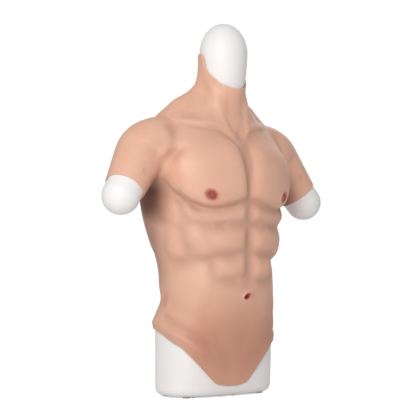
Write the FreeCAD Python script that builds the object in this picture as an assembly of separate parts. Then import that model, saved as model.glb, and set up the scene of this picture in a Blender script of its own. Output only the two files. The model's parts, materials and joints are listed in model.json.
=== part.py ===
"""Muscle-torso mannequin: a moulded silicone skin worn by a hollow white torso form.

Millimetres, +Z up, the figure faces -Y and its left side is +X. The origin is on the axis of the
stand socket, in the plane of the feet.
"""
import FreeCAD
import Part
import math
import os

V = FreeCAD.Vector

# Driving dimensions of the figure.
FOOT_HEIGHT = 3.0            # rubber feet lift the form off the table
FORM_WALL = 4.0              # glass-fibre wall of every hollow white piece
BASE_ROUND = 22.0            # rounding between the hips' sides and their underside
SKIN_EDGE = 3.5              # silicone thickness at the hem, the cuffs and the collar
SKIN_BODY = 9.0              # silicone thickness over the trunk
SKIN_GAP = 0.25              # slack between the silicone and the form
SLIDE_GAP = 0.4              # slack round the head and the arm caps, which pull out
SEAM_Y = -8.0                # plane where the front and rear shells of the form meet
SEAM_GAP = 0.2               # glue line between the two shells
RING_POLES = 24              # control points on each rounded cross-section

# Cross-sections of the skin's outside: height, half width, front, back, squareness (2 is an ellipse).
BODY_SECTIONS = [
    (60, 157, -91, 85, 3.1),      # hips
    (120, 155, -103, 97, 2.7),
    (175, 155, -112, 108, 2.4),   # top of the hip bones
    (215, 144, -122, 105, 2.3),
    (260, 140, -127, 104, 2.3),   # navel
    (300, 137, -127, 108, 2.3),   # waist
    (350, 149, -127, 120, 2.3),
    (400, 165, -129, 132, 2.3),   # lowest ribs
    (450, 178, -134, 137, 2.3),   # lower edge of the chest muscles
    (500, 186, -141, 138, 2.3),   # nipples and widest back
    (550, 184, -138, 132, 2.2),
    (600, 176, -108, 118, 2.1),   # pit of the neck
    (630, 158, -90, 100, 2.0),
    (655, 122, -84, 76, 2.0),     # collar bones
    (680, 82, -84, 46, 2.0),
    (700, 60, -86, 24, 2.0),      # foot of the neck
]
HIP_BOTTOM = (154.5, -82, 79, 3.2)  # the same four sizes of the form where it meets its underside

# Head: a body of revolution about a vertical axis, so that it turns and lifts inside the silicone collar.
HEAD_Y = -39.0
HEAD_BOTTOM = 717.0
HEAD_NECK_RADIUS = 47.5
HEAD_NECK_TOP = 730.0
HEAD_RADIUS = 57.0
HEAD_WIDEST = 812.0
HEAD_TOP = 883.0
NECK_TOP = 716.0             # parting plane between the torso form and the head
COLLAR_TOP = 808.0           # top of the silicone tongue at the nape

# Shoulders: centre, tilt of the cross-section about Y in degrees, half height and half depth.
SHOULDER_RINGS = [
    (V(20, 0, 656), 0, 52, 40),
    (V(60, 8, 652), 8, 62, 45),
    (V(95, 11, 627), 12, 58, 55),
    (V(130, 11, 599), 18, 62, 64),
    (V(168, 8, 592), 28, 61, 68),
    (V(197, 8, 581), 40, 61, 64),
]
# Arms: each one is round, about an axis through the middle of its cuff.
CUFF_CENTRE = V(270, -10, 487)
ARM_DIRECTION = V(0.593, -0.191, -0.782)
CUFF_RADIUS = 47.5
CAP_RADIUS = CUFF_RADIUS - SKIN_EDGE
CAP_START = -30.0            # cap's open end, measured along the arm from the cuff
CAP_DOME = 25.0              # centre of the cap's round end
ARM_RADII = [(-104, 61), (-75, 57.5), (-45, 53.5), (-20, 50), (0, CUFF_RADIUS)]
STUB_RADII = [(-104, 52), (-75, 48), (-58, 45), (-45, CAP_RADIUS), (-38, CAP_RADIUS), (-30.5, CAP_RADIUS)]

# Hem: lowest level in front, then rises, each over a span of degrees round to either side.
HEM_LOW = 28.0
HEM_RISES = [((8, 40), 8), ((26, 66), 82), ((52, 100), 42), ((100, 180), 27)]
HEM_SKEW = 8.0               # the skin sits a little turned on the form, in degrees
HEM_AXIS_Y = -5.0            # depth of the axis that the degrees are measured about
HEM_CORE = 60.0              # the hem's cutting surface flattens out this close to its axis

# Collar: the side view of its upper edge, depth and height.
COLLAR_EDGE = [(-170, 716), (-112, 720), (-92, 723), (-76, 733), (-60, 750), (-46, 764)]
COLLAR_EAR = (-38.0, 792.0)  # the edge runs almost straight up behind the ear to here
COLLAR_ROUND = 12.0          # rounding between the ear line and the top of the tongue

# Fittings in general.
RUN_GAP = 0.05               # radial slack of a turning or sliding fit
PLAY = 0.2                   # slack of a loose fit
GLUE = 0.05                  # slack of a bonded disc
TOUCH = 0.1                  # gap drawn between pieces that press on each other
FAR = 1000.0                 # beyond the whole figure

# Base: opening, board, stand flange and the screw that locks the pole.
BASE_LIP = 38.0              # width of the form's underside round the base opening
BOARD_EDGE = 26.0            # the base board's outline, inside the hips' outline
BASE_SCREWS = 33.0           # the base screws' outline, inside the hips' outline
BASE_BOARD = 15.0
BOARD_FLOOR = FOOT_HEIGHT + FORM_WALL + PLAY
FOOT_X, FOOT_Y = 113.0, 36.0  # rubber feet, from the middle of the underside
BASE_SCREW = 2.0             # radius of the base screws
BASE_SCREW_LENGTH = 17.0
PAN_RADIUS = 4.0             # their pan heads
PAN_HEIGHT = 2.2
SCREW_SLOT = 0.8             # width and depth of a screwdriver slot
POLE_RADIUS = 11.1           # for a 22 mm pole
SOCKET_RADIUS = POLE_RADIUS + 6
SOCKET_LENGTH = 85.0
FLANGE_RADIUS = 45.0
FLANGE_PLATE = 6.0
FLANGE_FLOOR = BOARD_FLOOR + BASE_BOARD + TOUCH
BOLT_CIRCLE = 34.0           # radius of the ring of flange bolts
BOLT = 3.0                   # radius of a flange bolt
BOLT_HEAD = 3.0              # height of its head, which is twice as wide as the bolt
BOLT_NUT = 10.0              # across its flats
LOCK_HEIGHT = 62.0
LOCK_RADIUS = 4.0
LOCK_PAD = 5.0
LOCK_SCREW = 14.0
LOCK_START = POLE_RADIUS + 0.3  # the pad's resting place, just outside the socket's bore
LOCK_BOSS = 28.0             # reach of the screw's boss from the socket's axis
HEX_KEY = 4.0
KEY_HOLE_RADIUS = 4.0        # hole for the hex key in the rear shell

# Neck: board, swivel flange and the spigot on which the head turns.
BOARD = 14.0                 # plywood boards in the neck and the arms
SPIGOT_RADIUS = 12.0
SPIGOT_FLATS = 20.0          # across the flats of the spigot's nose
SPIGOT_NOSE = 52.0
SPIGOT_FOOT = 6.0            # radius of the threaded foot
BUSH_RADIUS = SPIGOT_RADIUS + 4
BUSH_FOOT = -21.0            # the bush's lower end, from the parting plane
SWIVEL_RADIUS = 30.0
SWIVEL_PLATE = 4.0
SWIVEL_SCREWS = 23.0         # radius of the ring of screws
SWIVEL_SCREW = 1.9           # radius of one of them
SPIGOT_NUT = 10.0            # height of the lock nut under the bush
SPIGOT_WASHER = 1.6
PLUG_FLOOR = NECK_TOP + 8.0
PLUG = 16.0

# Arms: square pegs on the caps slide into sockets in the stubs.
STUB_END = CAP_START - 0.5
PEG = 14.0
PEG_REACH = 38.0             # how far the peg stands out of the cap's mouth
PEG_THREAD = 5.0             # radius of its threaded end
CAP_BOARD = 12.0
CAP_BOARD_INSET = 2.0        # from the cap's mouth to the board
CAP_BOARD_END = CAP_START + CAP_BOARD_INSET + CAP_BOARD
CAP_WASHER = 2.0             # thickness of the washer on the peg
SOCKET_HALF = PEG / 2 + 3
STUB_SOCKET = 52.0
STUB_SCREWS = 20.0           # radius of the ring of screws
STUB_SCREW = 1.6             # radius of one of them
STUB_FLANGE = 2.0            # thickness of the socket's flange


def blend(t):
    """A smooth step from 0 to 1."""
    t = min(1.0, max(0.0, t))
    return t * t * (3 - 2 * t)


def ring(centre, across, up, half_across, half_up, squareness=2.0):
    """Control points of a closed cross-section with these half sizes."""
    pull = 3 / (2 + math.cos(2 * math.pi / RING_POLES))
    points = []
    for i in range(RING_POLES):
        angle = 2 * math.pi * i / RING_POLES
        c, s = math.cos(angle), math.sin(angle)
        r = pull * (abs(c / half_across) ** squareness + abs(s / half_up) ** squareness) ** (-1 / squareness)
        points.append(centre + across * (r * c) + up * (r * s))
    return points


def level_ring(height, half_width, front, back, squareness=2.0, inset=0.0):
    """Control points of a level cross-section of the trunk, drawn inwards by inset."""
    centre = V(0, (back + front) / 2, height)
    half_depth = (back - front) / 2
    return ring(centre, V(1, 0, 0), V(0, 1, 0), half_width - inset, half_depth - inset, squareness)


def outline(height, half_width, front, back, squareness, inset):
    """Flat face with the outline of a level cross-section."""
    curve = Part.BSplineCurve()
    curve.buildFromPoles(level_ring(height, half_width, front, back, squareness, inset), True, 3)
    return Part.Face(Part.Wire(curve.toShape()))


def tube(rings):
    """Smooth solid through a row of rings, closed by a flat face at each end."""
    around, rows = len(rings[0]), len(rings)
    poles = [[row[i] for row in rings] for i in range(around)]
    surface = Part.BSplineSurface()
    surface.buildFromPolesMultsKnots(
        poles,
        [1] * (around + 1), [4] + [1] * (rows - 4) + [4],
        list(range(around + 1)), list(range(rows - 2)),
        True, False, 3, 3,
    )
    side = surface.toShape()
    rims = [edge for edge in side.Edges if edge.isClosed() and len(edge.Vertexes) == 1]
    ends = [Part.Face(Part.Wire(edge)) for edge in rims]
    shell = Part.Shell([side] + ends)
    shell.sewShape()
    solid = Part.Solid(shell)
    solid.fix(1e-5, 1e-5, 1e-5)
    return solid


def cover(height):
    """Thickness of the silicone over the form at a height."""
    return SKIN_EDGE + (SKIN_BODY - SKIN_EDGE) * blend((height - 160) / 60)


def form_trunk(inset):
    """Trunk and neck of the form, drawn inwards by inset."""
    floor = FOOT_HEIGHT + max(inset, 0.0)
    bend = BASE_ROUND - inset
    rings = []
    for draw_in, rise in ((1.0, 0.0), (0.45, 0.0), (0.0, 0.45), (0.0, 1.0)):
        rings.append(level_ring(floor + bend * rise, *HIP_BOTTOM, inset=inset + bend * draw_in))
    for height, *sizes in BODY_SECTIONS:
        rings.append(level_ring(height, *sizes, inset=cover(height) + inset))
    neck = (HEAD_NECK_RADIUS, HEAD_Y - HEAD_NECK_RADIUS, HEAD_Y + HEAD_NECK_RADIUS)
    for height in (NECK_TOP - 7, NECK_TOP - 3, NECK_TOP):
        rings.append(level_ring(height, *neck, inset=inset))
    return tube(rings)


def skin_trunk():
    """Outside of the silicone from below the hem to above the collar."""
    rings = []
    for height in (FOOT_HEIGHT + 2, FOOT_HEIGHT + 25):
        rings.append(level_ring(height, *HIP_BOTTOM, inset=-SKIN_EDGE))
    for height, *sizes in BODY_SECTIONS:
        rings.append(level_ring(height, *sizes))
    for height, radius in ((716, 51.5), (732, 52.5), (760, 58.0), (790, 61.0), (820, 61.5), (850, 61.5)):
        rings.append(level_ring(height, radius, HEAD_Y - radius, HEAD_Y + radius))
    return tube(rings)


def arm_axis(side):
    """Centre of the cuff and direction of the arm, for side 1 (left) or -1 (right)."""
    centre = V(CUFF_CENTRE.x * side, CUFF_CENTRE.y, CUFF_CENTRE.z)
    direction = V(ARM_DIRECTION.x * side, ARM_DIRECTION.y, ARM_DIRECTION.z)
    return centre, direction.normalize()


def shoulder_and_arm(side, inset, radii, draw_in=0.0):
    """Smooth limb from inside the chest along the shoulder and down an arm."""
    rings = []
    depth = V(0, 1, 0)
    for centre, tilt, half_height, half_depth in SHOULDER_RINGS:
        angle = math.radians(tilt)
        up = V(math.sin(angle) * side, 0, math.cos(angle))
        middle = V(centre.x * side, centre.y, centre.z)
        rings.append(ring(middle, up, depth, half_height - inset, half_depth - inset))
    cuff, axis = arm_axis(side)
    depth = (depth - axis * depth.dot(axis)).normalize()
    up = axis.cross(depth) * side
    for s, radius in radii:
        rings.append(ring(cuff + axis * s, up, depth, radius - draw_in, radius - draw_in))
    return tube(rings)


def revolved(profile, centre, axis):
    """Solid of revolution about axis from an outline of (radius, distance) corners and curves."""
    edges = []
    for kind, points in profile:
        vectors = [V(radius, 0, distance) for radius, distance in points]
        if kind == "line":
            edges.append(Part.makeLine(*vectors))
        elif kind == "arc":
            edges.append(Part.Arc(*vectors).toShape())
        else:
            curve = Part.BSplineCurve()
            curve.interpolate(vectors)
            edges.append(curve.toShape())
    face = Part.Face(Part.Wire(edges))
    solid = face.revolve(V(0, 0, 0), V(0, 0, 1), 360)
    solid.Placement = FreeCAD.Placement(centre, FreeCAD.Rotation(V(0, 0, 1), axis))
    return solid


def dome(radius, centre, degrees):
    """Point of a half circle's arc, as (radius, distance)."""
    angle = math.radians(degrees)
    return (radius * math.cos(angle), centre + radius * math.sin(angle))


def cap_solid(side, inset, start):
    """Cylinder with a round end: the cap's outside drawn inwards by inset."""
    centre, axis = arm_axis(side)
    radius = CAP_RADIUS - inset
    rim, shoulder, tip = (radius, start), (radius, CAP_DOME), (0, CAP_DOME + radius)
    profile = [("line", ((0, start), rim)), ("line", (rim, shoulder))]
    profile.append(("arc", (shoulder, dome(radius, CAP_DOME, 45), tip)))
    profile.append(("line", (tip, (0, start))))
    return revolved(profile, centre, axis)


def stub(side, inset):
    """Shoulder of the torso form with the stub that carries an arm cap."""
    return shoulder_and_arm(side, SKIN_BODY + inset, STUB_RADII, inset)


def head_solid(grow, bottom, open_top=False):
    """Head grown outwards by grow. With open_top it never narrows again above its widest ring."""
    neck = HEAD_NECK_RADIUS + grow
    widest = HEAD_RADIUS + grow
    flare = [(neck, HEAD_NECK_TOP), (neck + 5.0, HEAD_NECK_TOP + 24), (widest - 1.4, HEAD_WIDEST - 26)]
    flare.append((widest, HEAD_WIDEST))
    profile = [("line", ((0, bottom), (neck, bottom))), ("line", ((neck, bottom), flare[0]))]
    profile.append(("curve", flare))
    if open_top:
        top = HEAD_TOP + 40
        profile.append(("line", (flare[-1], (widest, top))))
        profile.append(("line", ((widest, top), (0, top))))
    else:
        top = HEAD_TOP + grow
        rise = top - HEAD_WIDEST
        crown = []
        for turn in range(0, 91, 15):
            angle = math.radians(turn)
            crown.append((widest * math.cos(angle), HEAD_WIDEST + rise * math.sin(angle)))
        crown[-1] = (0, top)
        profile.append(("curve", crown))
    profile.append(("line", ((0, top), (0, bottom))))
    return revolved(profile, V(0, HEAD_Y, 0), V(0, 0, 1))


def hem_height(x, y):
    """Height of the hem above the table in the direction of a place seen from the hem's axis."""
    turn = abs(math.degrees(math.atan2(-x, HEM_AXIS_Y - y)) - HEM_SKEW)
    turn = min(turn, 360 - turn)
    rise = sum(height * blend((turn - low) / (high - low)) for (low, high), height in HEM_RISES)
    core = sum(height for _, height in HEM_RISES) / 2
    return HEM_LOW + core + (rise - core) * blend(math.hypot(x, y - HEM_AXIS_Y) / HEM_CORE)


def hem_cutter():
    """Everything below the hem."""
    columns = [step * 20.0 for step in range(-10, 11)]
    rows = [step * 20.0 for step in range(-8, 9)]
    grid = [[V(x, y, hem_height(x, y)) for y in rows] for x in columns]
    surface = Part.BSplineSurface()
    surface.interpolate(grid)
    return surface.toShape().extrude(V(0, 0, -400))


def collar_cutter():
    """Everything above the collar's edge: a side view drawn through the neck from side to side."""
    ear_y, ear_top = COLLAR_EAR
    jaw = Part.BSplineCurve()
    jaw.interpolate([V(-200, y, z) for y, z in COLLAR_EDGE])
    last_y, last_z = COLLAR_EDGE[-1]
    corner = [V(-200, ear_y, ear_top - 4)]
    corner.append(V(-200, ear_y + 0.3 * COLLAR_ROUND, ear_top + 0.7 * COLLAR_ROUND - 3))
    corner.append(V(-200, ear_y + COLLAR_ROUND, COLLAR_TOP))
    first_y, first_z = COLLAR_EDGE[0]
    high = 1000.0
    edges = [jaw.toShape(), Part.makeLine(V(-200, last_y, last_z), corner[0])]
    edges.append(Part.Arc(*corner).toShape())
    for start, end in (
        (corner[2], V(-200, 120, COLLAR_TOP)),
        (V(-200, 120, COLLAR_TOP), V(-200, 120, high)),
        (V(-200, 120, high), V(-200, first_y, high)),
        (V(-200, first_y, high), V(-200, first_y, first_z)),
    ):
        edges.append(Part.makeLine(start, end))
    return Part.Face(Part.Wire(edges)).extrude(V(400, 0, 0))


def rod(radius, length, base, axis=V(0, 0, 1)):
    """Plain cylinder."""
    return Part.makeCylinder(radius, length, base, axis)


def on_arm(shape, side):
    """Moves a piece drawn along +Z from the cuff's centre onto an arm's axis."""
    centre, axis = arm_axis(side)
    arm = FreeCAD.Placement(centre, FreeCAD.Rotation(V(0, 0, 1), axis))
    shape.Placement = arm.multiply(shape.Placement)
    return shape


def screw(radius, length, head_radius, head):
    """Countersunk screw along +Z, its head's flat face at 0 and its tip at length."""
    cone = Part.makeCone(head_radius, radius, head, V(0, 0, 0))
    slot = Part.makeBox(2 * head_radius, SCREW_SLOT, SCREW_SLOT, V(-head_radius, -SCREW_SLOT / 2, 0))
    return cone.fuse(rod(radius, length, V(0, 0, 0))).cut(slot)


def ring_of(shape, count, radius, first=0.0):
    """Copies of a shape set round the Z axis."""
    copies = []
    for i in range(count):
        copy = shape.copy()
        copy.translate(V(radius, 0, 0))
        copy.rotate(V(0, 0, 0), V(0, 0, 1), first + 360.0 * i / count)
        copies.append(copy)
    return copies


def muscle_skin():
    """The silicone: trunk, sleeves and collar, hollow to fit the form, the head and the caps."""
    outside = skin_trunk()
    hollow = form_trunk(-SKIN_GAP)
    for side in (-1, 1):
        outside = outside.fuse(shoulder_and_arm(side, 0.0, ARM_RADII))
        hollow = hollow.fuse(stub(side, -SKIN_GAP))
    trimmed = outside.cut(hem_cutter()).cut(collar_cutter())
    skin = trimmed.cut(hollow)
    skin = skin.cut(head_solid(SLIDE_GAP, HEAD_BOTTOM - 3, open_top=True))
    for side in (-1, 1):
        skin = skin.cut(cap_solid(side, -SLIDE_GAP, CAP_START - 6))
    return skin


def form_shells():
    """Front and rear shells of the torso form, with the opening for the base board."""
    outside, inside = form_trunk(0.0), form_trunk(FORM_WALL)
    for side in (-1, 1):
        outside = outside.fuse(stub(side, 0.0))
        inside = inside.fuse(stub(side, FORM_WALL))
    shell = outside.cut(inside)
    opening = outline(0, *HIP_BOTTOM, BASE_LIP)
    shell = shell.cut(opening.extrude(V(0, 0, 3 * BOARD_FLOOR)))
    shell = shell.cut(rod(KEY_HOLE_RADIUS, 200, V(0, 60, LOCK_HEIGHT), V(0, 1, 0)))
    for screw_hole in base_screw_places(rod(1.3 * BASE_SCREW, 2 * BOARD_FLOOR, V(0, 0, 0))):
        shell = shell.cut(screw_hole)
    front_half = Part.makeBox(2 * FAR, FAR, FAR, V(-FAR, SEAM_Y - SEAM_GAP / 2 - FAR, 0))
    rear_half = Part.makeBox(2 * FAR, FAR, FAR, V(-FAR, SEAM_Y + SEAM_GAP / 2, 0))
    return shell.common(front_half), shell.common(rear_half)


def base_screw_places(shape):
    """Copies of a shape at the eight base-board screws."""
    half_width, front, back, squareness = HIP_BOTTOM
    middle = (front + back) / 2
    a, b = half_width - BASE_SCREWS, (back - front) / 2 - BASE_SCREWS
    copies = []
    for i in range(8):
        angle = math.radians(22.5 + 45 * i)
        c, s = math.cos(angle), math.sin(angle)
        r = (abs(c / a) ** squareness + abs(s / b) ** squareness) ** (-1 / squareness)
        copy = shape.copy()
        copy.translate(V(r * c, middle + r * s, 0))
        copies.append(copy)
    return copies


def flange_bolt_holes():
    """Clearance holes for the flange bolts."""
    return ring_of(rod(BOLT + PLAY, SOCKET_LENGTH, V(0, 0, 0)), 4, BOLT_CIRCLE, 45)


def base_board():
    """Plywood that closes the hips and carries the stand flange."""
    board = outline(BOARD_FLOOR, *HIP_BOTTOM, BOARD_EDGE).extrude(V(0, 0, BASE_BOARD))
    board = board.cut(rod(SOCKET_RADIUS + PLAY, SOCKET_LENGTH, V(0, 0, 0)))
    for hole in flange_bolt_holes() + base_screw_places(rod(BASE_SCREW + TOUCH, SOCKET_LENGTH, V(0, 0, 0))):
        board = board.cut(hole)
    return board


def base_board_screws():
    """Eight pan-head screws driven up through the underside."""
    head_floor = FOOT_HEIGHT - PAN_HEIGHT - TOUCH
    head = rod(PAN_RADIUS, PAN_HEIGHT, V(0, 0, head_floor))
    shank = rod(BASE_SCREW, BASE_SCREW_LENGTH, V(0, 0, FOOT_HEIGHT - PLAY))
    slot = Part.makeBox(2 * PAN_RADIUS, SCREW_SLOT, SCREW_SLOT, V(-PAN_RADIUS, -SCREW_SLOT / 2, head_floor))
    return base_screw_places(head.fuse(shank).cut(slot))


def stand_flange():
    """Flange bolted on the base board, with a tube that takes the pole and a boss for the lock screw."""
    stem = rod(SOCKET_RADIUS, SOCKET_LENGTH, V(0, 0, 0))
    plate = rod(FLANGE_RADIUS, FLANGE_PLATE, V(0, 0, FLANGE_FLOOR))
    boss = rod(2 * LOCK_RADIUS, LOCK_BOSS, V(0, 0, LOCK_HEIGHT), V(0, 1, 0))
    body = stem.fuse(plate).fuse(boss)
    body = body.cut(rod(POLE_RADIUS, SOCKET_LENGTH, V(0, 0, 0)))
    body = body.cut(rod(LOCK_RADIUS + RUN_GAP, 2 * LOCK_BOSS, V(0, 0, LOCK_HEIGHT), V(0, 1, 0)))
    for hole in flange_bolt_holes():
        body = body.cut(hole)
    return body


def hexagon(across, height, base):
    """Hexagonal prism along +Z."""
    corner = across / math.sqrt(3)
    points = []
    for i in range(7):
        angle = i * math.pi / 3
        points.append(base + V(corner * math.cos(angle), corner * math.sin(angle), 0))
    return Part.Face(Part.makePolygon(points)).extrude(V(0, 0, height))


def stand_flange_bolts():
    """Four bolts with their nuts: heads under the board, nuts on the flange."""
    top = FLANGE_FLOOR + FLANGE_PLATE + TOUCH
    head = rod(2 * BOLT, BOLT_HEAD, V(0, 0, BOARD_FLOOR - BOLT_HEAD - TOUCH))
    head = head.cut(hexagon(HEX_KEY, 2, V(0, 0, BOARD_FLOOR - BOLT_HEAD - PLAY)))
    bolt = head.fuse(rod(BOLT, top - BOARD_FLOOR + 8, V(0, 0, BOARD_FLOOR - PLAY)))
    nut = hexagon(BOLT_NUT, BOLT_NUT / 2, V(0, 0, top))
    return ring_of(bolt.fuse(nut), 4, BOLT_CIRCLE, 45)


def lock_pad():
    """Brass pad that the lock screw pushes against the pole."""
    return rod(LOCK_RADIUS, LOCK_PAD, V(0, LOCK_START, LOCK_HEIGHT), V(0, 1, 0))


def lock_screw():
    """Grub screw behind the pad, with a hexagonal socket for its key."""
    grub = rod(LOCK_RADIUS, LOCK_SCREW, V(0, 0, 0)).cut(hexagon(HEX_KEY, 6, V(0, 0, LOCK_SCREW - 6 + PLAY)))
    start = V(0, LOCK_START + LOCK_PAD + TOUCH, LOCK_HEIGHT)
    grub.Placement = FreeCAD.Placement(start, FreeCAD.Rotation(V(0, 0, 1), V(0, 1, 0)))
    return grub


def rubber_feet():
    """Four pads under the rim of the form."""
    middle = (HIP_BOTTOM[1] + HIP_BOTTOM[2]) / 2
    return [
        Part.makeCone(8, 9, FOOT_HEIGHT - GLUE, V(x, middle + y, 0))
        for x in (-FOOT_X, FOOT_X) for y in (-FOOT_Y, FOOT_Y)
    ]


def at_neck(shape, height=NECK_TOP):
    """Moves a piece drawn about the Z axis to the head's axis at a height."""
    shape.translate(V(0, HEAD_Y, height))
    return shape


def neck_board():
    """Plywood disc bonded into the neck of the form, its edge fitted to the form's inside."""
    board = rod(HEAD_NECK_RADIUS - FORM_WALL - PLAY, BOARD, V(0, 0, -BOARD))
    board = board.cut(rod(BUSH_RADIUS + PLAY, 3 * BOARD, V(0, 0, -2 * BOARD)))
    for hole in ring_of(rod(SWIVEL_SCREW + TOUCH, BOARD, V(0, 0, -10)), 4, SWIVEL_SCREWS):
        board = board.cut(hole)
    return at_neck(board).common(form_trunk(FORM_WALL + PLAY))


def swivel_flange():
    """Flanged bush on the neck board in which the spigot turns."""
    plate = rod(SWIVEL_RADIUS, SWIVEL_PLATE, V(0, 0, TOUCH))
    flange = plate.fuse(rod(BUSH_RADIUS, 1 - BUSH_FOOT, V(0, 0, BUSH_FOOT)))
    flange = flange.cut(rod(SPIGOT_RADIUS + RUN_GAP, 60, V(0, 0, -30)))
    hole_radius = SWIVEL_SCREW + 0.3
    countersink = Part.makeCone(hole_radius, 2 * hole_radius, hole_radius, V(0, 0, SWIVEL_PLATE / 2))
    through = rod(hole_radius, 20, V(0, 0, -10))
    for hole in ring_of(countersink.fuse(through), 4, SWIVEL_SCREWS):
        flange = flange.cut(hole)
    return at_neck(flange)


def swivel_screws():
    """Four countersunk screws that hold the swivel flange."""
    down = screw(SWIVEL_SCREW, 13, 3.6, 1.8)
    down.rotate(V(0, 0, 0), V(1, 0, 0), 180)
    return [at_neck(one, NECK_TOP + SWIVEL_PLATE) for one in ring_of(down, 4, SWIVEL_SCREWS)]


def flatted(radius, flats, length, base):
    """Round bar with two flats, along +Z."""
    slab = Part.makeBox(2 * radius, flats, length, base + V(-radius, -flats / 2, 0))
    return rod(radius, length, base).common(slab)


def neck_spigot():
    """Turned bar: threaded foot, bearing, collar, and a nose with two flats that carries the head."""
    foot = rod(SPIGOT_FOOT, 20, V(0, 0, BUSH_FOOT - 19))
    bearing = rod(SPIGOT_RADIUS, 26, V(0, 0, BUSH_FOOT))
    collar = rod(SPIGOT_RADIUS + 6, 3, V(0, 0, SWIVEL_PLATE + 2 * TOUCH))
    nose = flatted(SPIGOT_RADIUS, SPIGOT_FLATS, SPIGOT_NOSE, V(0, 0, 6))
    return at_neck(foot.fuse(bearing).fuse(collar).fuse(nose))


def spigot_washer():
    """Washer under the swivel flange."""
    floor = BUSH_FOOT - SPIGOT_WASHER - TOUCH
    washer = rod(SPIGOT_RADIUS + 3, SPIGOT_WASHER, V(0, 0, floor))
    return at_neck(washer.cut(rod(SPIGOT_FOOT + TOUCH, 10, V(0, 0, floor - 5))))


def spigot_nut():
    """Lock nut on the spigot's foot."""
    floor = BUSH_FOOT - SPIGOT_WASHER - 2 * TOUCH - SPIGOT_NUT
    nut = hexagon(19, SPIGOT_NUT, V(0, 0, floor))
    return at_neck(nut.cut(rod(SPIGOT_FOOT + RUN_GAP, 2 * SPIGOT_NUT, V(0, 0, floor - 5))))


def head_shell():
    """Hollow white head, open at the neck."""
    return head_solid(0.0, HEAD_BOTTOM).cut(head_solid(-FORM_WALL, HEAD_BOTTOM - 1))


def head_plug():
    """Plywood disc bonded into the head's neck."""
    plug = rod(HEAD_NECK_RADIUS - FORM_WALL - GLUE, PLUG, V(0, 0, 0))
    return at_neck(plug.cut(rod(BUSH_RADIUS + TOUCH, 3 * PLUG, V(0, 0, -PLUG))), PLUG_FLOOR)


def head_socket():
    """Moulded socket in the head plug that drops over the spigot's flats."""
    body = rod(BUSH_RADIUS, 46, V(0, 0, 0)).fuse(rod(2 * SPIGOT_RADIUS, 3, V(0, 0, PLUG + TOUCH)))
    nose = flatted(SPIGOT_RADIUS + RUN_GAP, SPIGOT_FLATS + 2 * RUN_GAP, 60, V(0, 0, -1))
    body = body.cut(nose)
    return at_neck(body, PLUG_FLOOR)


def square(half, length, start):
    """Square bar along +Z."""
    return Part.makeBox(2 * half, 2 * half, length, V(-half, -half, start))


def stub_board(side):
    """Plywood disc bonded into an arm stub."""
    board = rod(CAP_RADIUS - FORM_WALL - PLAY, BOARD, V(0, 0, STUB_END - BOARD))
    board = board.cut(square(SOCKET_HALF + PLAY, 60, STUB_END - 40))
    for hole in ring_of(rod(STUB_SCREW + TOUCH, 20, V(0, 0, STUB_END - 20)), 4, STUB_SCREWS, 45):
        board = board.cut(hole)
    return on_arm(board, side)


def stub_socket(side):
    """Square socket with a flange, let into the stub board."""
    body = square(SOCKET_HALF, STUB_SOCKET, STUB_END - STUB_SOCKET)
    body = body.fuse(rod(27, STUB_FLANGE, V(0, 0, STUB_END - BOARD - STUB_FLANGE - TOUCH)))
    body = body.cut(square(PEG / 2 + TOUCH, STUB_SOCKET, STUB_END - STUB_SOCKET + 4))
    for hole in ring_of(rod(STUB_SCREW + 0.3, 20, V(0, 0, STUB_END - 30)), 4, STUB_SCREWS, 45):
        body = body.cut(hole)
    return on_arm(body, side)


def stub_screws(side):
    """Four screws that hold the socket's flange to the back of the stub board."""
    one = screw(STUB_SCREW, 11, 3.4, STUB_SCREW)
    one.translate(V(0, 0, STUB_END - BOARD - 2 * STUB_FLANGE - PLAY))
    return [on_arm(item, side) for item in ring_of(one, 4, STUB_SCREWS, 45)]


def cap_shell(side):
    """Hollow white arm cap with a round end."""
    return cap_solid(side, 0.0, CAP_START).cut(cap_solid(side, FORM_WALL, CAP_START - 1))


def cap_board(side):
    """Plywood disc bonded into the cap's mouth."""
    board = rod(CAP_RADIUS - FORM_WALL - GLUE, CAP_BOARD, V(0, 0, CAP_START + CAP_BOARD_INSET))
    return on_arm(board.cut(square(PEG / 2 + TOUCH, 60, CAP_START - 20)), side)


def cap_peg(side):
    """Square steel peg that slides into the stub socket, with a threaded end through the cap board."""
    start = CAP_START - PEG_REACH
    peg = square(PEG / 2, CAP_BOARD_END - start, start)
    return on_arm(peg.fuse(rod(PEG_THREAD, 16, V(0, 0, CAP_BOARD_END - 1))), side)


def cap_peg_nut(side):
    """Nut and washer that pull the peg against the cap board."""
    washer = rod(13, CAP_WASHER, V(0, 0, CAP_BOARD_END + TOUCH))
    nut = washer.fuse(hexagon(16, 8, V(0, 0, CAP_BOARD_END + CAP_WASHER)))
    return on_arm(nut.cut(rod(PEG_THREAD + RUN_GAP, 40, V(0, 0, CAP_START))), side)


def export(name, shape):
    """Writes one node. A list of solids becomes a compound."""
    if isinstance(shape, list):
        shape = Part.Compound([solid for item in shape for solid in item.Solids])
    shape.exportStep(os.path.join("parts", name + ".step"))


def main():
    os.makedirs("parts", exist_ok=True)
    front, rear = form_shells()
    export("form_front_shell", front)
    export("form_rear_shell", rear)
    for build in (
        muscle_skin, neck_board, swivel_flange, swivel_screws, neck_spigot, spigot_washer, spigot_nut,
        head_shell, head_plug, head_socket, base_board, base_board_screws, stand_flange, stand_flange_bolts,
        lock_pad, lock_screw, rubber_feet,
    ):
        export(build.__name__, build())
    for side, word in ((-1, "right"), (1, "left")):
        for build in (stub_board, stub_socket, stub_screws, cap_shell, cap_board, cap_peg, cap_peg_nut):
            export(word + "_" + build.__name__, build(side))


main()
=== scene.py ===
"""Looks of the muscle-torso mannequin: a moulded silicone muscle skin on a white display form.

Sizes are millimetres until a mesh is made, when MM turns them into metres. +Z is up, the figure faces -Y
and its left side is +X. The right half of the skin mirrors the left half.
"""

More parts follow.
